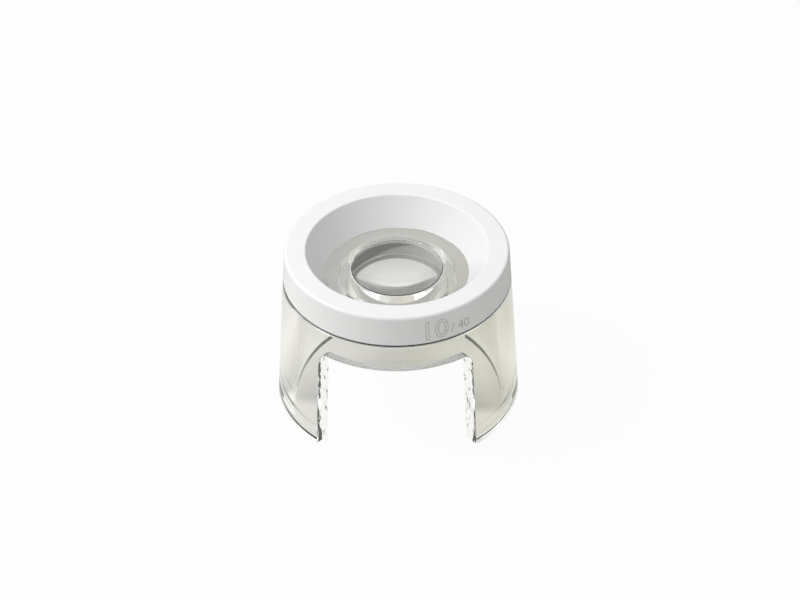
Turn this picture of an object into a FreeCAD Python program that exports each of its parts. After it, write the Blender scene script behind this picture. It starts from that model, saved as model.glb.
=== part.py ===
import FreeCAD, Part
import math
import os

# Stand magnifier: a clear stand on two curved legs carries a white eyecup ring, which screws up and
# down for focus and takes a clear barrel with two lenses along. Millimetres. Z is the optical axis and
# points up, the origin is the middle of the feet on the table, and the arches open towards -Y and +Y.

os.makedirs("parts", exist_ok=True)

# One overrun past the faces for every cut
overrun = 1.0

# Clear stand: a slightly conical shell, open below and in front and behind
mouth_radius = 27.9
foot_spread = 2.4
stand_height = 35.2
foot_wall = 3.8
stand_edge_round = 0.15

# Arches: what is left between them are the two legs
arch_height = 27.8
arch_half_angle = 40.5
arch_corner_radius = 2.6
arch_edge_round = 0.25
arch_edge_angle = 0.3

# Screw seat in the stand's mouth
seat_wall = 2.6
seat_clearance = 0.05
seat_floor_gap = 0.3
seat_ledge = 0.9

# Eyecup ring: outer wall, flat rim, inner cone and a skirt that runs in the stand's mouth
ring_height = 7.8
ring_draft = 0.5
ring_rim_width = 5.65
cone_run = 4.65
ring_land = 0.5
ring_lip = 0.3
ring_outer_round = 0.8
ring_rim_round = 0.5
cone_wall = 1.8
roof_thickness = 2.0
skirt_length = 2.1
skirt_wall = 1.85

# Drag ring: a soft band in a groove of the skirt, which keeps the focus where it is set
drag_height = 0.6
drag_depth = 0.8
drag_above_skirt_end = 0.35
drag_clearance = 0.03
drag_round = 0.2

# Lenses: two equal plano-convex lenses with their crowns facing each other
lens_radius = 11.4
lens_crown_radius = 31.0
lens_edge = 1.4
lens_gap = 1.0
lens_bevel = 0.15

# Barrel: a clear dished flange and a short thick tube, which hold the lenses and close the ring
barrel_rise = 1.7
barrel_fit = 0.05
barrel_wall = 2.45
barrel_lip = 0.4
barrel_lip_height = 0.4
barrel_crest = 0.6
flange_thickness = 1.7
barrel_end = 0.2
barrel_round = 0.05

# Spacer between the two lenses, and the ring that holds them in from below
spacer_wall = 0.3
spacer_clearance = 0.01
retainer_height = 1.4
retainer_wall = 1.3

# Places along the axis, from the table up
ring_bottom = stand_height
ring_top = ring_bottom + ring_height
skirt_end = ring_bottom - skirt_length
seat_floor = skirt_end - seat_floor_gap
flange_top = ring_bottom + ring_lip
cone_foot = flange_top + ring_land
barrel_top = flange_top + barrel_rise
lens_top = barrel_top - barrel_lip_height
lens_sag = lens_crown_radius - math.sqrt(lens_crown_radius**2 - lens_radius**2)
lens_thickness = lens_edge + lens_sag
upper_crown = lens_top - lens_thickness
lower_crown = upper_crown - lens_gap
lower_lens_bottom = lower_crown - lens_thickness
barrel_bottom = lower_lens_bottom - retainer_height - barrel_end

# Radii that follow from the stand's mouth and from the fits
foot_radius = mouth_radius + foot_spread
seat_radius = mouth_radius - seat_wall
ring_rim_radius = mouth_radius - ring_rim_width
ring_eye_radius = ring_rim_radius - cone_run
skirt_radius = seat_radius - seat_clearance
skirt_bore = skirt_radius - skirt_wall
barrel_bore = lens_radius + barrel_fit
barrel_radius = barrel_bore + barrel_wall
ledge_radius = seat_radius - seat_ledge
foot_inner_radius = foot_radius - foot_wall
spacer_bore = lens_radius - spacer_wall


def crown_sag(radius):
    """How far the crown of a lens falls back at a radius."""
    return lens_crown_radius - math.sqrt(lens_crown_radius**2 - radius**2)


def rounded_wire(corners):
    """Closed outline in the XZ plane from (radius, height, rounding) corners, with tangent arcs."""
    places = [FreeCAD.Vector(r, 0, z) for r, z, rounding in corners]
    count = len(corners)
    starts = []
    ends = []
    arcs = []
    for i, (r, z, rounding) in enumerate(corners):
        here = places[i]
        back = (places[i - 1] - here).normalize()
        ahead = (places[(i + 1) % count] - here).normalize()
        if not rounding:
            starts.append(here)
            ends.append(here)
            arcs.append(None)
            continue
        half = back.getAngle(ahead) / 2
        reach = rounding / math.tan(half)
        middle = (back + ahead).normalize()
        centre = here + middle * (rounding / math.sin(half))
        first = here + back * reach
        last = here + ahead * reach
        starts.append(first)
        ends.append(last)
        arcs.append(Part.Arc(first, centre - middle * rounding, last))
    edges = []
    for i in range(count):
        if arcs[i]:
            edges.append(arcs[i].toShape())
        edges.append(Part.LineSegment(ends[i], starts[(i + 1) % count]).toShape())
    return Part.Wire(edges)


def turned(corners):
    """Solid of revolution about Z from a rounded outline."""
    face = Part.Face(rounded_wire(corners))
    return face.revolve(FreeCAD.Vector(0, 0, 0), FreeCAD.Vector(0, 0, 1), 360)


def save(node, shape):
    shape.exportStep(f"parts/{node}.step")
    print(node, "solids", len(shape.Solids), "volume", round(shape.Volume, 1), "valid", shape.isValid())


def arch_cutter(direction):
    """Wedge with rounded top corners that opens one arch; direction -1 is the front, 1 the rear."""
    half = math.radians(arch_half_angle)
    near = ledge_radius * math.cos(half) - foot_wall
    far = foot_radius + overrun
    side = math.tan(half)
    corners = [
        FreeCAD.Vector(-near * side, direction * near, -overrun),
        FreeCAD.Vector(near * side, direction * near, -overrun),
        FreeCAD.Vector(far * side, direction * far, -overrun),
        FreeCAD.Vector(-far * side, direction * far, -overrun),
    ]
    wedge = Part.Face(Part.makePolygon(corners + corners[:1])).extrude(
        FreeCAD.Vector(0, 0, arch_height + overrun)
    )
    top_sides = []
    for edge in wedge.Edges:
        first, last = edge.Vertexes[0].Point, edge.Vertexes[-1].Point
        on_top = min(first.z, last.z) > arch_height - overrun
        if on_top and abs(first.y - last.y) > overrun:
            top_sides.append(edge)
    return wedge.makeFillet(arch_corner_radius, top_sides)


def arch_edges(shape):
    """Edges of the arches on the shell's outer and inner face, and round the two feet."""
    chosen = []
    for edge in shape.Edges:
        points = edge.discretize(5)
        angles = [abs(math.degrees(math.atan2(p.x, abs(p.y)))) for p in points]
        inside = max(angles) < arch_half_angle + arch_edge_angle
        radii = [math.hypot(p.x, p.y) for p in points]
        level = max(radii) - min(radii) < foot_wall / 2
        reach = max(p.z for p in points)
        in_foot = reach < arch_edge_round
        if in_foot or (inside and level and reach < arch_height + arch_edge_round):
            chosen.append(edge)
    return chosen


def clear_stand():
    shell = turned([
        (foot_inner_radius, 0, 0),
        (foot_radius, 0, 0),
        (mouth_radius, stand_height, stand_edge_round),
        (seat_radius, stand_height, stand_edge_round),
        (seat_radius, seat_floor, 0),
        (ledge_radius, seat_floor, 0),
    ])
    shell = shell.cut(arch_cutter(-1)).cut(arch_cutter(1))
    return shell.makeFillet(arch_edge_round, arch_edges(shell))


def cone_radius(height):
    """Radius of the eyecup's inner cone at a height."""
    slope = (ring_rim_radius - ring_eye_radius) / (ring_top - cone_foot)
    return ring_eye_radius + slope * (height - cone_foot)


def eyecup_ring():
    slant = math.atan2(ring_rim_radius - ring_eye_radius, ring_top - cone_foot)
    behind_cone = cone_wall / math.cos(slant)
    roof = ring_top - roof_thickness
    groove_bottom = skirt_end + drag_above_skirt_end
    groove_top = groove_bottom + drag_height + drag_clearance + drag_clearance
    groove_radius = skirt_radius - drag_depth
    return turned([
        (mouth_radius, ring_bottom, stand_edge_round),
        (mouth_radius - ring_draft, ring_top, ring_outer_round),
        (ring_rim_radius, ring_top, ring_rim_round),
        (ring_eye_radius, cone_foot, 0),
        (ring_eye_radius, flange_top, 0),
        (cone_radius(flange_top) + behind_cone, flange_top, 0),
        (min(cone_radius(roof) + behind_cone, skirt_bore - barrel_fit), roof, 0),
        (skirt_bore, roof, 0),
        (skirt_bore, skirt_end, 0),
        (skirt_radius, skirt_end, drag_round),
        (skirt_radius, groove_bottom, 0),
        (groove_radius, groove_bottom, 0),
        (groove_radius, groove_top, 0),
        (skirt_radius, groove_top, 0),
        (skirt_radius, ring_bottom, 0),
    ])


def drag_ring():
    bottom = skirt_end + drag_above_skirt_end + drag_clearance
    inner = skirt_radius - drag_depth + drag_clearance
    outer = seat_radius - drag_clearance
    return turned([
        (inner, bottom, 0),
        (outer, bottom, drag_round),
        (outer, bottom + drag_height, drag_round),
        (inner, bottom + drag_height, 0),
    ])


def lens(flat_height, upwards):
    """Plano-convex lens: a flat face at one height and a crown that points up or down."""
    sign = 1 if upwards else -1
    edge_height = flat_height + sign * lens_edge
    crown_height = flat_height + sign * lens_thickness
    centre_height = crown_height - sign * lens_crown_radius
    half = math.asin(lens_radius / lens_crown_radius) / 2
    on_arc = FreeCAD.Vector(
        lens_crown_radius * math.sin(half), 0, centre_height + sign * lens_crown_radius * math.cos(half)
    )
    axis_flat = FreeCAD.Vector(0, 0, flat_height)
    bevel_flat = FreeCAD.Vector(lens_radius - lens_bevel, 0, flat_height)
    bevel_side = FreeCAD.Vector(lens_radius, 0, flat_height + sign * lens_bevel)
    rim = FreeCAD.Vector(lens_radius, 0, edge_height)
    crown = FreeCAD.Vector(0, 0, crown_height)
    outline = Part.Wire([
        Part.LineSegment(axis_flat, bevel_flat).toShape(),
        Part.LineSegment(bevel_flat, bevel_side).toShape(),
        Part.LineSegment(bevel_side, rim).toShape(),
        Part.Arc(rim, on_arc, crown).toShape(),
        Part.LineSegment(crown, axis_flat).toShape(),
    ])
    return Part.Face(outline).revolve(FreeCAD.Vector(0, 0, 0), FreeCAD.Vector(0, 0, 1), 360)


def lens_barrel():
    eye = ring_eye_radius - barrel_fit
    flange_bottom = flange_top - flange_thickness
    return turned([
        (barrel_bore - barrel_lip, barrel_top, barrel_round),
        (barrel_bore + barrel_crest, barrel_top, barrel_round),
        (eye, flange_top + ring_land, barrel_round),
        (eye, flange_top, 0),
        (skirt_bore - barrel_fit, flange_top, 0),
        (skirt_bore - barrel_fit, flange_bottom, barrel_round),
        (barrel_radius, flange_bottom, barrel_round),
        (barrel_radius, barrel_bottom, barrel_round),
        (barrel_bore, barrel_bottom, barrel_round),
        (barrel_bore, lens_top, 0),
        (barrel_bore - barrel_lip, lens_top, 0),
    ])


def lens_spacer():
    """Thin tube with slanted ends that lie on the crowns of the two lenses."""
    bottom = lower_crown + spacer_clearance
    top = upper_crown - spacer_clearance
    return turned([
        (spacer_bore, bottom - crown_sag(spacer_bore), 0),
        (lens_radius, bottom - lens_sag, 0),
        (lens_radius, top + lens_sag, 0),
        (spacer_bore, top + crown_sag(spacer_bore), 0),
    ])


def lens_retainer():
    bottom = lower_lens_bottom - retainer_height
    return turned([
        (lens_radius - retainer_wall, bottom, barrel_round),
        (lens_radius, bottom, barrel_round),
        (lens_radius, lower_lens_bottom, 0),
        (lens_radius - retainer_wall, lower_lens_bottom, 0),
    ])


save("clear_stand", clear_stand())
save("eyecup_ring", eyecup_ring())
save("drag_ring", drag_ring())
save("lens_barrel", lens_barrel())
save("upper_lens", lens(lens_top, False))
save("lens_spacer", lens_spacer())
save("lower_lens", lens(lower_lens_bottom, True))
save("lens_retainer", lens_retainer())
print("overall height", ring_top, "lens underside above the table", round(lower_lens_bottom, 2))
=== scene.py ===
import math

import bmesh
import bpy
from mathutils import Matrix, Vector


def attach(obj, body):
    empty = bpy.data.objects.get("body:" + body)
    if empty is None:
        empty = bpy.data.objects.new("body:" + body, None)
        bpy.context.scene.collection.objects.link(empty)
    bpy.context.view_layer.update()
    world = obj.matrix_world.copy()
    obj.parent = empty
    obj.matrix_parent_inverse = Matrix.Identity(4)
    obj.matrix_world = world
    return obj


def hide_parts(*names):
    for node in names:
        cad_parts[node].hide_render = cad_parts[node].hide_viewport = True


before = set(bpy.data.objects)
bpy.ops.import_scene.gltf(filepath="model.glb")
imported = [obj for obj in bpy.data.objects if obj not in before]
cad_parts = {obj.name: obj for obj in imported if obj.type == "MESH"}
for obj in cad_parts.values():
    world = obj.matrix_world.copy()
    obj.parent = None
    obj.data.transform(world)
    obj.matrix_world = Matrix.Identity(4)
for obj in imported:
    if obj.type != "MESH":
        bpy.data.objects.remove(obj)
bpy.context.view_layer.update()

# The photograph's view: a long lens from above the front arch. Metres, degrees and pixels.
photo_width = 800
photo_height = 600
sensor_width = 36
camera_distance = 0.600
camera_elevation = 38.74
camera_azimuth = 1.63
camera_roll = -0.75
nearest_shown = 0.01
farthest_shown = 20
pixels_per_metre = 4030
aim_height = 0.0215
aim_pixel_x = 397.6
aim_pixel_y = 317.1

# Sizes of the turned pieces, in millimetres as in the solids
mm = 0.001
foot_radius = 30.3
foot_inner_radius = 26.5
foot_round = 0.25
mouth_radius = 27.9
mouth_round = 0.15
stand_height = 35.2
seat_radius = 25.3
seat_floor = 32.8
ledge_radius = 24.4
arch_height = 27.8
arch_half_angle = 40.5
arch_corner_radius = 2.6
ring_top = 43.0
ring_top_radius = 27.4
lens_radius = 11.4
lens_crown_radius = 31.0
lens_edge = 1.4
lens_gap = 1.0
lens_bevel = 0.15
lens_top = 36.8
lens_sag = lens_crown_radius - math.sqrt(lens_crown_radius**2 - lens_radius**2)
upper_crown = lens_top - lens_edge - lens_sag
lower_crown = upper_crown - lens_gap
lower_flat = lower_crown - lens_sag - lens_edge
barrel_top = 37.2
barrel_crest_radius = 12.05
barrel_lip_radius = 11.05
barrel_bore = 11.45
barrel_radius = 13.9
barrel_bottom = 27.056
barrel_round = 0.12
dish_radius = 17.55
dish_foot = 36.0
flange_radius = 23.35
flange_top = 35.5
flange_bottom = 33.8

# Meshes: columns round a turned piece, steps along a curve, millimetres between a rounding and the
# loop that keeps the flat beside it flat, degrees of a sharp edge, the height from which a face at
# a lens rim is ground, and how far a face must turn from the radius to be one of the arches' cuts
turned_columns = 240
stand_columns = 720
round_steps = 6
crown_steps = 48
corner_steps = 24
support = 0.02
sharp_angle = 25
least_rim_face = 0.1
least_cut_turn = 0.9

# Wedge that cuts an arch, in millimetres: where it starts and ends along the cut faces, and how
# far it reaches below the feet
wedge_near = 19.4
wedge_far = 42.0
wedge_below = 1.0

# Painted dark lines (painted shade) in the clear stand, in metres: heights, half widths and where they fade
outer_wall = 0.0299
foot_line = 0.0021
foot_line_rise = 0.026
foot_line_thinning = 0.004
foot_line_core = 0.00027
foot_line_edge = 0.00039
foot_line_fade = (-0.002, 0.004)
mouth_line = 0.03495
mouth_line_fade = 0.0009
mouth_line_edge = 0.0001
mouth_line_power = 0.7
mouth_line_least = 0.7
mouth_wedge_height = 0.0011
mouth_wedge_span = (-0.0272, -0.0238)
line_strength = 0.995

# The slanted edge of the painted shadow between the lit and the shaded side of the spacer, in metres
spacer_middle = 0.0327
spacer_slant = -2.0
spacer_edge = (-0.003, 0.001)

# The table as clear plastic shows it, in metres, with painted shade and shadow: levels from front to back,
# darker below the middle of the stand and far behind on the left, brighter beside the feet, warmer on the
# right
table_span = (-0.03, 0.07)
table_slant = 0.07
table_tone = (1, 0.975, 0.92)
table_levels = (
    (-0.030, 0.74),
    (-0.009, 0.72),
    (-0.006, 0.42),
    (0.004, 0.61),
    (0.012, 0.70),
    (0.030, 0.55),
    (0.060, 0.36),
)
middle_depth = 0.008
middle_level = 0.80
middle_edge = (0.004, 0.017)
beside_edge = (0.019, 0.023)
beyond_edge = (0.0265, 0.0275)
beside_gain = 0.17
beside_gain_slope = -1.8
far_drop = 0.36
far_edge = (0.034, 0.050)
far_left_edge = (-0.016, -0.003)
warm_level = 0.93
warm_edge = (-0.015, 0.020)

# The same painted table shade through the lens pair, seen from the fourth face that light goes through
lens_tone = (1, 0.98, 0.93)
lens_levels = (0.62, 0.9)
lens_depths = (0.025, 0.080)
lens_sides = (0.016, 0.020)
lens_start = (0.018, 0.022)
faces_before_lens_view = 3.5

# Stage: the floor, with the shares of its painted shade pattern in clear plastic and of plain white in the
# picture, the black card that stands in for shade (half width, bottom, top, distance behind) and the lamp,
# in metres and watts
floor_half = 2.0
floor_height = -0.0001
floor_colour = (0.8, 0.8, 0.78, 1)
floor_roughness = 0.9
pattern_share = 0.85
white_share = 0.94
card = (0.08, 0.014, 0.054, 0.060)
shade_card_colour = (0.01, 0.01, 0.01, 1)
thrown_back_once = 0.5
key_place = (-0.48, -0.03, 0.63)
key_aim = (0, 0, 0.02)
key_size = 0.25
key_power = 2.8
white = (1, 1, 1, 1)

# Sky: soft light that is a little stronger from the left, and the studio that gloss shows
sky_levels = (0.01, 0.965)
sky_slope = -0.13
studio_lean = (-0.36, 0.28, 0.48)
studio_lift = 0.35
studio_dark = (0.30, 0.30, 0.29, 1)
studio_middle = (0.55, 0.55, 0.54, 1)
studio_middle_place = 0.35

# Finishes. Grains are in features to the metre. A gate is the number of times that light has been
# thrown back before the soft fill, a painted glow of the plastic, comes: the count is whole, so each gate
# lies between two counts.
plastic_index = 1.49
glass_gate = 3.5
stand_gate = 2.5
clear_spread = 0.004
clear_colour_grain = 90
clear_roughness_grain = 400
clear_roughness_edge = (0.35, 0.7)
moulded_colour_grain = 60
moulded_roughness_grain = 250
moulded_roughness_drift = 0.05
moulded_bump = 0.25
wave_stretch = (1, 1, 0.5)
clear_tint = (0.97, 0.98, 0.96)
clear_rough = 0.01
stand_fill = 0.35
fill_colour = (0.9, 0.9, 0.88, 1)
fleck_grain = 1600
fleck_stretch = (1, 1, 0.3)
fleck_edge = (0.635, 0.67)
fleck_level = 0.06
noise_middle = (0.3, 0.7)

# Numbers on the ring, in millimetres
print_lift = 0.01
print_thickness = 0.02
print_thinning = 0.035
outline_bevel = 0.07
outline_height = 0.3
print_resolution = 8


class Tree:
    """Adds nodes and links to one node tree."""

    def __init__(self, owner):
        owner.use_nodes = True
        self.nodes = owner.node_tree.nodes
        self.links = owner.node_tree.links

    def feed(self, socket, value):
        if isinstance(value, bpy.types.NodeSocket):
            self.links.new(value, socket)
        else:
            socket.default_value = value

    def add(self, kind, inputs=(), **settings):
        node = self.nodes.new("ShaderNode" + kind)
        for key, value in settings.items():
            setattr(node, key, value)
        for key, value in dict(inputs).items():
            self.feed(node.inputs[key], value)
        return node

    def math(self, operation, *values):
        node = self.add("Math", operation=operation)
        for socket, value in zip(node.inputs, values):
            self.feed(socket, value)
        return node.outputs[0]

    def vector(self, operation, *values):
        return self.add("VectorMath", dict(enumerate(values)), operation=operation)

    def length(self, x, y):
        squares = [self.math("MULTIPLY", value, value) for value in (x, y)]
        return self.math("SQRT", self.math("ADD", *squares))

    def scaled(self, colour, factor):
        node = self.vector("SCALE", colour)
        self.feed(node.inputs["Scale"], factor)
        return node.outputs[0]

    def remap(self, value, low, high, start=0.0, end=1.0, smooth=False):
        node = self.add("MapRange", {"From Min": start, "From Max": end, "To Min": low, "To Max": high})
        if smooth:
            node.interpolation_type = "SMOOTHSTEP"
        self.feed(node.inputs["Value"], value)
        return node.outputs[0]

    def split(self, vector):
        """X, Y and Z of a vector."""
        node = self.add("SeparateXYZ", {0: vector})
        return [node.outputs[axis] for axis in "XYZ"]

    def place(self):
        """X, Y and Z of the piece's own coordinates."""
        return self.split(self.add("TexCoord").outputs["Object"])

    def light_path(self, name):
        return self.add("LightPath").outputs[name]

    def noise(self, scale, detail=2.0, stretch=(1, 1, 1)):
        """Noise over the piece's own coordinates; scale is in features to the metre."""
        coordinates = self.add("TexCoord").outputs["Object"]
        mapping = self.add("Mapping", {"Vector": coordinates, "Scale": stretch})
        texture = self.add("TexNoise", {"Vector": mapping.outputs[0], "Scale": scale, "Detail": detail})
        return texture.outputs["Fac"]

    def mix(self, factor, first, second):
        """Mix of two shaders."""
        return self.add("MixShader", {0: factor, 1: first, 2: second}).outputs[0]

    def blend(self, factor, first, second):
        """Mix of two colours."""
        return self.add("Mix", {0: factor, 6: first, 7: second}, data_type="RGBA").outputs[2]


def link_object(name, data):
    piece = bpy.data.objects.new(name, data)
    bpy.context.scene.collection.objects.link(piece)
    return piece


def make_camera():
    """Camera at the photograph's angle, with the aim point at its pixel."""
    elevation = math.radians(camera_elevation)
    azimuth = math.radians(camera_azimuth)
    roll = math.radians(camera_roll)
    around = Vector((math.sin(azimuth), -math.cos(azimuth), 0))
    back = around * math.cos(elevation) + Vector((0, 0, math.sin(elevation)))
    right = Vector((math.cos(azimuth), math.sin(azimuth), 0))
    up = back.cross(right)
    leaning_right = right * math.cos(roll) + up * math.sin(roll)
    leaning_up = up * math.cos(roll) - right * math.sin(roll)
    data = bpy.data.cameras.new("photo_camera")
    data.sensor_width = sensor_width
    data.lens = pixels_per_metre * camera_distance / photo_width * sensor_width
    data.shift_x = (photo_width / 2 - aim_pixel_x) / photo_width
    data.shift_y = (aim_pixel_y - photo_height / 2) / photo_width
    data.clip_start = nearest_shown
    data.clip_end = farthest_shown
    camera = link_object("photo_camera", data)
    place = Vector((0, 0, aim_height)) + back * camera_distance
    turn = Matrix((leaning_right, leaning_up, back)).transposed()
    camera.matrix_world = Matrix.Translation(place) @ turn.to_4x4()
    bpy.context.scene.camera = camera


def new_material(name):
    material = bpy.data.materials.new(name)
    tree = Tree(material)
    return material, tree, tree.nodes["Principled BSDF"]


def edge_shade(tree):
    """Painted dark lines, painted shade for where the clear stand's feet and mouth turn light away: a line
    round the outside of each foot, wider on the left, and one below the ring, which widens into a wedge at
    the left."""
    x, y, z = tree.place()
    outside = tree.math("GREATER_THAN", tree.length(x, y), outer_wall)
    line = tree.math("MULTIPLY_ADD", y, foot_line_rise, foot_line)
    off_line = tree.math("ABSOLUTE", tree.math("SUBTRACT", z, line))
    spare = tree.math("MULTIPLY_ADD", x, foot_line_thinning, off_line)
    foot = tree.math("MULTIPLY", outside, tree.remap(spare, 1.0, 0.0, foot_line_core, foot_line_edge))
    foot = tree.math("MULTIPLY", foot, tree.remap(y, 1.0, 0.0, *foot_line_fade))
    level = tree.math("ADD", z, tree.remap(x, mouth_wedge_height, 0.0, *mouth_wedge_span))
    below = tree.remap(level, 0.0, 1.0, mouth_line - mouth_line_fade, mouth_line)
    below = tree.math("POWER", below, mouth_line_power)
    edge = tree.remap(level, mouth_line_least, 1.0, mouth_line - mouth_line_edge, mouth_line)
    darkness = tree.math("MAXIMUM", foot, tree.math("MULTIPLY", below, edge))
    return tree.math("SUBTRACT", 1.0, tree.math("MULTIPLY", darkness, line_strength))


def flecks(tree):
    """Short dark dashes where the milled face throws light away."""
    return tree.remap(tree.noise(fleck_grain, 1.0, fleck_stretch), 1.0, fleck_level, *fleck_edge)


def painted_spacer_shadow(tree, lean):
    """Painted shadow on the spacer: darker on the left of a slanted edge and brighter on its right, by
    lean.
    """
    x, _, z = tree.place()
    slant = tree.math("MULTIPLY_ADD", tree.math("SUBTRACT", z, spacer_middle), spacer_slant, x)
    return tree.remap(slant, 1 - lean, 1 + lean, *spacer_edge, smooth=True)


def grained_colour(tree, shader, colour, spread, scale, shade=None):
    """Base colour that drifts by a small share over the surface, times an optional shade."""
    factor = tree.remap(tree.noise(scale, 3.0), 1 - spread, 1 + spread, *noise_middle)
    if shade:
        factor = tree.math("MULTIPLY", factor, shade)
    tree.feed(shader.inputs["Base Color"], tree.scaled(colour, factor))


def bumped(tree, shader, height, strength, distance):
    bump = tree.add("Bump", {"Strength": strength, "Distance": distance, "Height": height})
    tree.feed(shader.inputs["Normal"], bump.outputs[0])


def clear_plastic(name, tint, roughness=0.0, fill=0.0, gate=glass_gate, shaded=None):
    """Clear plastic. Light that its faces have thrown back more than gate times adds a soft fill, painted
    in as a glow of the plastic.
    """
    material, tree, shader = new_material(name)
    shade = shaded(tree) if shaded else None
    grained_colour(tree, shader, tint, clear_spread, clear_colour_grain, shade)
    shader.inputs["Roughness"].default_value = roughness
    if roughness:
        rough = tree.remap(tree.noise(clear_roughness_grain), 0.0, roughness, *clear_roughness_edge)
        tree.feed(shader.inputs["Roughness"], rough)
    shader.inputs["IOR"].default_value = plastic_index
    shader.inputs["Transmission Weight"].default_value = 1
    # The fill is a painted glow: the plastic gives off light where light has been thrown back often
    if fill:
        shader.inputs["Emission Color"].default_value = fill_colour
        late = tree.math("GREATER_THAN", tree.light_path("Glossy Depth"), gate)
        if shade:
            late = tree.math("MULTIPLY", late, shade)
        tree.feed(shader.inputs["Emission Strength"], tree.math("MULTIPLY", late, fill))
    return material


def waved(material, grain, depth):
    """Gives a clear plastic the slight waves of a face that was milled."""
    tree = Tree(material)
    bumped(tree, tree.nodes["Principled BSDF"], tree.noise(grain, 2.0, wave_stretch), 1.0, depth)


def moulded(name, colour, roughness, spread, grain, depth, lean=0.0):
    """Moulded plastic with a fine even grain; a lean paints a slanted shadow edge into its colour."""
    material, tree, shader = new_material(name)
    shade = painted_spacer_shadow(tree, lean) if lean else None
    grained_colour(tree, shader, colour, spread, moulded_colour_grain, shade)
    drift = (roughness - moulded_roughness_drift, roughness + moulded_roughness_drift)
    rough = tree.remap(tree.noise(moulded_roughness_grain), *drift, *noise_middle)
    tree.feed(shader.inputs["Roughness"], rough)
    bumped(tree, shader, tree.noise(grain, 4.0), moulded_bump, depth)
    return material


def rounded(corners):
    """Outline points from (radius, height, rounding) corners."""
    points = []
    count = len(corners)
    for i, (r, z, rounding) in enumerate(corners):
        here = Vector((r, z))
        if not rounding:
            points.append((r, z))
            continue
        back = (Vector(corners[i - 1][:2]) - here).normalized()
        ahead = (Vector(corners[(i + 1) % count][:2]) - here).normalized()
        half = back.angle(ahead) / 2
        middle = (back + ahead).normalized()
        centre = here + middle * (rounding / math.sin(half))
        reach = rounding / math.tan(half)
        first = (here + back * reach - centre).normalized()
        last = (here + ahead * reach - centre).normalized()
        points.append(tuple(here + back * (reach + support)))
        for step in range(round_steps + 1):
            points.append(tuple(centre + rounding * first.slerp(last, step / round_steps)))
        points.append(tuple(here + ahead * (reach + support)))
    return points


def new_mesh(name, build):
    mesh = bpy.data.meshes.new(name)
    bmesh.ops.recalc_face_normals(build, faces=build.faces)
    build.to_mesh(mesh)
    build.free()
    return mesh


def spin(name, outline, materials, body, nodes, closed=True, columns=turned_columns, pick=None):
    """Turned piece from an outline of (radius, height) points in millimetres."""
    build = bmesh.new()
    rings = []
    for r, z in outline:
        if r == 0:
            rings.append([build.verts.new((0, 0, z * mm))])
            continue
        ring = []
        for i in range(columns):
            angle = 2 * math.pi * (i + 0.5) / columns
            ring.append(build.verts.new((r * mm * math.cos(angle), r * mm * math.sin(angle), z * mm)))
        rings.append(ring)
    pairs = list(zip(rings, rings[1:] + rings[:1]))
    places = list(zip(outline, outline[1:] + outline[:1]))
    if not closed:
        pairs = pairs[:-1]
        places = places[:-1]
    for (low, high), ends in zip(pairs, places):
        number = pick(*ends) if pick else 0
        for i in range(columns):
            j = (i + 1) % columns
            corners = []
            for vertex in (low[i % len(low)], low[j % len(low)], high[j % len(high)], high[i % len(high)]):
                if vertex not in corners:
                    corners.append(vertex)
            face = build.faces.new(corners)
            face.material_index = number
            face.smooth = True
    mesh = new_mesh(name, build)
    for material in materials:
        mesh.materials.append(material)
    mesh.set_sharp_from_angle(angle=math.radians(sharp_angle))
    piece = link_object(name, mesh)
    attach(piece, body)
    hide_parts(*nodes)
    return piece


def lets_light_through(piece):
    piece.visible_shadow = False
    piece.visible_diffuse = False


def lens(name, flat, sign, node, polish, ground):
    """Plano-convex lens whose rim and bevel are ground; sign 1 has its crown on top."""
    outline = [(0, flat), (lens_radius - lens_bevel, flat), (lens_radius, flat + sign * lens_bevel)]
    centre = flat + sign * (lens_edge + lens_sag - lens_crown_radius)
    for step in range(crown_steps):
        r = lens_radius * (1 - step / crown_steps)
        outline.append((r, centre + sign * math.sqrt(lens_crown_radius**2 - r**2)))
    outline.append((0, centre + sign * lens_crown_radius))

    def on_rim(first, last):
        at_rim = min(first[0], last[0]) > lens_radius - 2 * lens_bevel
        return 1 if at_rim and abs(first[1] - last[1]) > least_rim_face else 0

    piece = spin(name, outline, [polish, ground], "eyepiece", [node], closed=False, pick=on_rim)
    lets_light_through(piece)


def barrel(acrylic):
    corners = [
        (barrel_lip_radius, barrel_top, barrel_round),
        (barrel_crest_radius, barrel_top, barrel_round),
        (dish_radius, dish_foot, 0),
        (dish_radius, flange_top, 0),
        (flange_radius, flange_top, 0),
        (flange_radius, flange_bottom, 0),
        (barrel_radius, flange_bottom, 0),
        (barrel_radius, barrel_bottom, barrel_round),
        (barrel_bore, barrel_bottom, barrel_round),
        (barrel_bore, lens_top, 0),
        (barrel_lip_radius, lens_top, 0),
    ]
    piece = spin("clear_barrel", rounded(corners), [acrylic], "eyepiece", ["lens_barrel"])
    lets_light_through(piece)


def arch_cutter(side):
    """Wedge with rounded top corners that opens one arch; side -1 is the front, 1 the rear."""
    half = math.radians(arch_half_angle)
    ahead = Vector((math.sin(half), -math.cos(half), 0))
    inwards = Vector((-math.cos(half), -math.sin(half), 0))
    outline = [(0, -wedge_below)]
    for step in range(corner_steps + 1):
        swing = math.radians(90) * step / corner_steps
        drop = arch_corner_radius * (1 - math.sin(swing))
        outline.append((arch_corner_radius * (1 - math.cos(swing)), arch_height - drop))
    build = bmesh.new()
    loops = []
    for reach in (wedge_near, wedge_far):
        right = [reach * ahead + offset * inwards + Vector((0, 0, z)) for offset, z in outline]
        left = [Vector((-place.x, place.y, place.z)) for place in reversed(right)]
        loops.append([build.verts.new((p.x * mm, -side * p.y * mm, p.z * mm)) for p in right + left])
    near, far = loops
    count = len(near)
    for i in range(count):
        j = (i + 1) % count
        build.faces.new((near[i], near[j], far[j], far[i]))
    build.faces.new(near)
    build.faces.new(far)
    return link_object("arch_cutter", new_mesh("arch_cutter", build))


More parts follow.
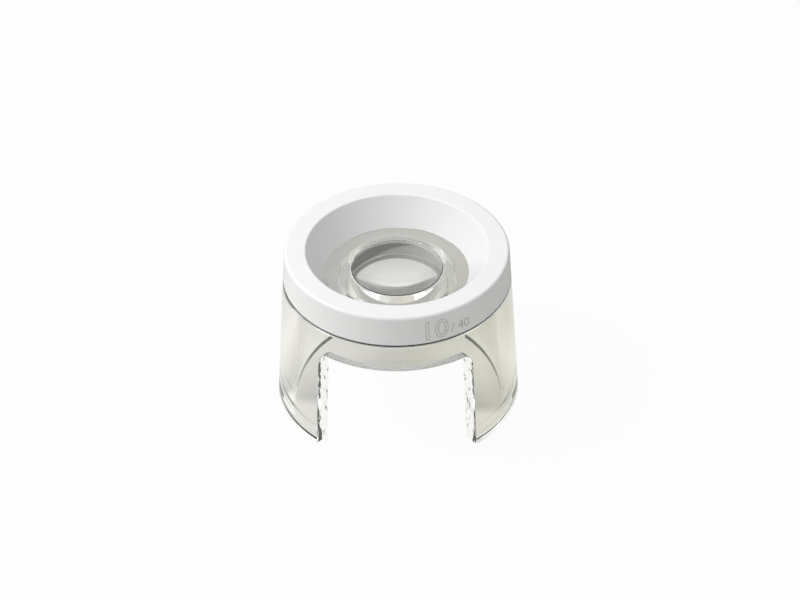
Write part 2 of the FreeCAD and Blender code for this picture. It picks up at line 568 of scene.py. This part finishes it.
def stand(material, cut_material):
    """The clear stand with fine, evenly cut walls, so that what shows through them isn't bent."""
    corners = [
        (foot_inner_radius, 0, foot_round),
        (foot_radius, 0, foot_round),
        (mouth_radius, stand_height, mouth_round),
        (seat_radius, stand_height, mouth_round),
        (seat_radius, seat_floor, 0),
        (ledge_radius, seat_floor, 0),
    ]
    outline = rounded(corners)
    nodes = ["clear_stand"]
    piece = spin("clear_shell", outline, [material], "stand", nodes, columns=stand_columns)
    cutters = [arch_cutter(side) for side in (-1, 1)]
    for cutter in cutters:
        cut = piece.modifiers.new("arch", "BOOLEAN")
        cut.operation = "DIFFERENCE"
        cut.solver = "EXACT"
        cut.object = cutter
    bpy.context.view_layer.update()
    whole = piece.evaluated_get(bpy.context.evaluated_depsgraph_get())
    mesh = bpy.data.meshes.new_from_object(whole)
    piece.modifiers.clear()
    piece.data = mesh
    for cutter in cutters:
        bpy.data.objects.remove(cutter)
    mesh.materials.clear()
    mesh.materials.append(material)
    mesh.materials.append(cut_material)
    for face in mesh.polygons:
        x, y = face.center.x, face.center.y
        across = abs(face.normal.x * y - face.normal.y * x) / math.hypot(x, y)
        face.material_index = 1 if across > least_cut_turn else 0
        face.use_smooth = True
    mesh.set_sharp_from_angle(angle=math.radians(sharp_angle))
    lets_light_through(piece)


def dress(node, material):
    """Gives a CAD node its finish."""
    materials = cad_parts[node].data.materials
    materials.clear()
    materials.append(material)


def make_key():
    data = bpy.data.lights.new("key", "AREA")
    data.shape = "DISK"
    data.size = key_size
    data.energy = key_power
    lamp = link_object("key", data)
    lamp.location = key_place
    lamp.visible_transmission = False
    lamp.rotation_mode = "QUATERNION"
    lamp.rotation_quaternion = (Vector(key_aim) - Vector(key_place)).to_track_quat("-Z", "Y")


def flat_sheet(name, corners, colour, roughness):
    """A four-cornered sheet for the stage, its node tree and its plain shader."""
    mesh = bpy.data.meshes.new(name)
    mesh.from_pydata(corners, [], [(0, 1, 2, 3)])
    sheet = link_object(name, mesh)
    material, tree, shader = new_material(name)
    shader.inputs["Base Color"].default_value = colour
    shader.inputs["Roughness"].default_value = roughness
    mesh.materials.append(material)
    return sheet, tree, shader.outputs[0]


def make_shade_card():
    """Black card behind the stand that stands in for shade: only light thrown back inside the clear feet
    meets it, as painted dark arcs.
    """
    half, low, high, back = card
    corners = [(-half, back, low), (half, back, low), (half, back, high), (-half, back, high)]
    piece, tree, black = flat_sheet("black_shade_card", corners, shade_card_colour, 1)
    thrown_back = tree.math("GREATER_THAN", tree.light_path("Glossy Depth"), thrown_back_once)
    clear = tree.add("BsdfTransparent").outputs[0]
    tree.feed(tree.nodes["Material Output"].inputs["Surface"], tree.mix(thrown_back, clear, black))
    piece.visible_camera = False
    piece.visible_glossy = False
    lets_light_through(piece)


def make_world():
    """White behind the object; a soft studio from the left for what gloss and clear plastic show."""
    world = bpy.data.worlds.new("studio")
    tree = Tree(world)
    tree.nodes.clear()
    direction = tree.add("TexCoord").outputs["Generated"]
    lean = tree.vector("DOT_PRODUCT", direction, studio_lean).outputs["Value"]
    ramp = tree.add("ValToRGB", {"Fac": tree.math("ADD", lean, studio_lift)})
    low, high = ramp.color_ramp.elements
    low.color = studio_dark
    high.color = white
    ramp.color_ramp.elements.new(studio_middle_place).color = studio_middle
    studio = tree.add("Background", {"Color": ramp.outputs[0], "Strength": 1.0})
    bright = tree.add("Background", {"Color": white, "Strength": 1.0})
    x, _, height = tree.split(direction)
    strength = tree.math("ADD", tree.remap(height, *sky_levels), tree.math("MULTIPLY", x, sky_slope))
    soft = tree.add("Background", {"Color": white, "Strength": strength})
    glossy, clear = tree.light_path("Is Glossy Ray"), tree.light_path("Is Transmission Ray")
    inner = tree.mix(tree.math("MAXIMUM", glossy, clear), soft.outputs[0], studio.outputs[0])
    whole = tree.mix(tree.light_path("Is Camera Ray"), inner, bright.outputs[0])
    tree.add("OutputWorld", {"Surface": whole})
    bpy.context.scene.world = world


def table_level(tree, x, y):
    """Painted shade of the table by place: shadow below the middle of the stand and far behind on the left,
    brighter beside the feet, times the levels from front to back.
    """
    beside = tree.remap(tree.math("ABSOLUTE", x), 0.0, 1.0, *beside_edge)
    beyond = tree.math("MULTIPLY", tree.remap(tree.length(x, y), 0.0, 1.0, *beyond_edge), beside)
    gain = tree.math("MULTIPLY_ADD", x, beside_gain_slope, beside_gain)
    brighter = tree.math("MULTIPLY_ADD", beyond, gain, 1.0)
    far = tree.remap(y, 0.0, far_drop, *far_edge)
    far_left = tree.math("MULTIPLY", far, tree.remap(x, 1.0, 0.0, *far_left_edge))
    reach = tree.length(x, tree.math("SUBTRACT", y, middle_depth))
    painted_stand_shadow = tree.remap(reach, middle_level, 1.0, *middle_edge, smooth=True)
    return tree.math("MULTIPLY", painted_stand_shadow, tree.math("SUBTRACT", brighter, far_left))


def painted_table_shade(tree):
    """Painted shade of the table as clear plastic shows it, and another one through the lens pair."""
    x, y, _ = tree.split(tree.add("NewGeometry").outputs["Position"])
    slanted = tree.math("MULTIPLY_ADD", x, table_slant, y)
    ramp = tree.add("ValToRGB", {"Fac": tree.remap(slanted, 0.0, 1.0, *table_span)})
    stops = ramp.color_ramp.elements
    front, back = table_span
    for i, (depth, level) in enumerate(table_levels):
        share = (depth - front) / (back - front)
        stop = stops[i] if i < 2 else stops.new(share)
        stop.position = share
        stop.color = (*(level * tone for tone in table_tone), 1)
    yellow = tree.remap(x, 1.0, warm_level, *warm_edge)
    warm = tree.add("CombineXYZ", {"X": 1.0, "Y": 1.0, "Z": yellow})
    warmed = tree.vector("MULTIPLY", ramp.outputs[0], warm.outputs[0]).outputs[0]
    table = tree.scaled(warmed, table_level(tree, x, y))
    crossed = tree.math("GREATER_THAN", tree.light_path("Transmission Depth"), faces_before_lens_view)
    central = tree.remap(tree.math("ABSOLUTE", x), 1.0, 0.0, *lens_sides)
    behind = tree.remap(y, 0.0, 1.0, *lens_start)
    by_lens = tree.math("MULTIPLY", tree.math("MULTIPLY", crossed, central), behind)
    through_lens = tree.scaled(lens_tone, tree.remap(y, *lens_levels, *lens_depths))
    return tree.blend(by_lens, table, through_lens)


def make_floor():
    """Pale floor that the camera sees as white, with a little of the object's shadow."""
    half, down = floor_half, floor_height
    corners = [(-half, -half, down), (half, -half, down), (half, half, down), (-half, half, down)]
    floor, tree, pale = flat_sheet("floor", corners, floor_colour, floor_roughness)
    plain = tree.add("Emission", {"Color": white, "Strength": 1.0})
    # The painted table shade is given off as light for what clear plastic and gloss see of the floor
    shown = tree.add("Emission", {"Color": painted_table_shade(tree), "Strength": 1.0})
    glossy, clear = tree.light_path("Is Glossy Ray"), tree.light_path("Is Transmission Ray")
    inner = tree.math("MULTIPLY", tree.math("MAXIMUM", glossy, clear), pattern_share)
    through = tree.mix(inner, pale, shown.outputs[0])
    seen = tree.math("MULTIPLY", tree.light_path("Is Camera Ray"), white_share)
    tree.feed(tree.nodes["Material Output"].inputs["Surface"], tree.mix(seen, through, plain.outputs[0]))


def wall_radius(height):
    """Radius of the ring's outer wall at a height, in millimetres."""
    share = (height - stand_height) / (ring_top - stand_height)
    return mouth_radius + share * (ring_top_radius - mouth_radius)


def mark(name, text, size, angle, height, ink, outlined):
    """Numbers printed on the ring's outer wall; angle is in degrees from the front to the right."""
    curve = bpy.data.curves.new(name, "FONT")
    curve.body = text
    curve.size = size
    curve.align_x = "CENTER"
    curve.align_y = "CENTER"
    curve.resolution_u = print_resolution
    if outlined:
        curve.fill_mode = "NONE"
        curve.bevel_depth = outline_bevel
        curve.bevel_resolution = 1
    else:
        curve.extrude = print_thickness
        curve.offset = -print_thinning
    drawn = link_object(name + "_curve", curve)
    bpy.context.view_layer.update()
    mesh = bpy.data.meshes.new_from_object(drawn)
    bpy.data.objects.remove(drawn)
    for vertex in mesh.vertices:
        x, y, z = vertex.co
        z_wall = height + y
        turn = math.radians(angle) + x / mouth_radius
        r = wall_radius(z_wall) + print_lift + (outline_height * z if outlined else z)
        vertex.co = (r * mm * math.sin(turn), -r * mm * math.cos(turn), z_wall * mm)
    mesh.materials.clear()
    mesh.materials.append(ink)
    piece = link_object(name, mesh)
    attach(piece, "eyepiece")


make_camera()
make_world()
make_floor()
# A black card stands in for shade inside the clear feet
make_shade_card()
make_key()

glass = clear_plastic("lens_glass", tint=(0.99, 0.995, 0.99), fill=0.2)
ground = moulded("ground_edge", (0.8, 0.8, 0.78), roughness=0.6, spread=0.03, grain=4000, depth=0.00002)
lens("upper_polished_lens", lens_top, -1, "upper_lens", glass, ground)
lens("lower_polished_lens", lower_flat, 1, "lower_lens", glass, ground)
barrel(clear_plastic("barrel_acrylic", tint=(0.98, 0.985, 0.975)))

milled_acrylic = clear_plastic("milled_acrylic", clear_tint, clear_rough, stand_fill, stand_gate, flecks)
waved(milled_acrylic, grain=700, depth=0.00012)
# The stand's clear colour carries the painted dark lines of edge_shade
clear_acrylic = clear_plastic("clear_acrylic", clear_tint, clear_rough, stand_fill, stand_gate, edge_shade)
stand(clear_acrylic, milled_acrylic)

dress(
    "eyecup_ring",
    moulded("white_plastic", (0.9, 0.9, 0.9), roughness=0.4, spread=0.01, grain=3000, depth=0.00001),
)
# The spacer's colour carries a painted shadow edge, by lean
dress(
    "lens_spacer",
    moulded(
        "spacer_grey", (0.31, 0.31, 0.30), roughness=0.55, spread=0.05, grain=3000, depth=0.00002, lean=0.45
    ),
)
dress(
    "lens_retainer",
    moulded("retainer_grey", (0.35, 0.35, 0.34), roughness=0.5, spread=0.05, grain=3000, depth=0.00002),
)
dress(
    "drag_ring",
    moulded("grey_silicone", (0.5, 0.5, 0.49), roughness=0.7, spread=0.04, grain=2000, depth=0.00002),
)

ink = moulded("print_grey", (0.42, 0.42, 0.41), roughness=0.6, spread=0.06, grain=5000, depth=0.000005)
thin_ink = moulded(
    "print_light_grey", (0.5, 0.5, 0.49), roughness=0.6, spread=0.06, grain=5000, depth=0.000005
)
mark("power_mark", "10", size=7.3, angle=20.0, height=38.3, ink=ink, outlined=True)
mark("dioptre_mark", "/ 40", size=3.4, angle=34.0, height=37.7, ink=thin_ink, outlined=False)

bpy.context.scene.view_settings.view_transform = "Standard"
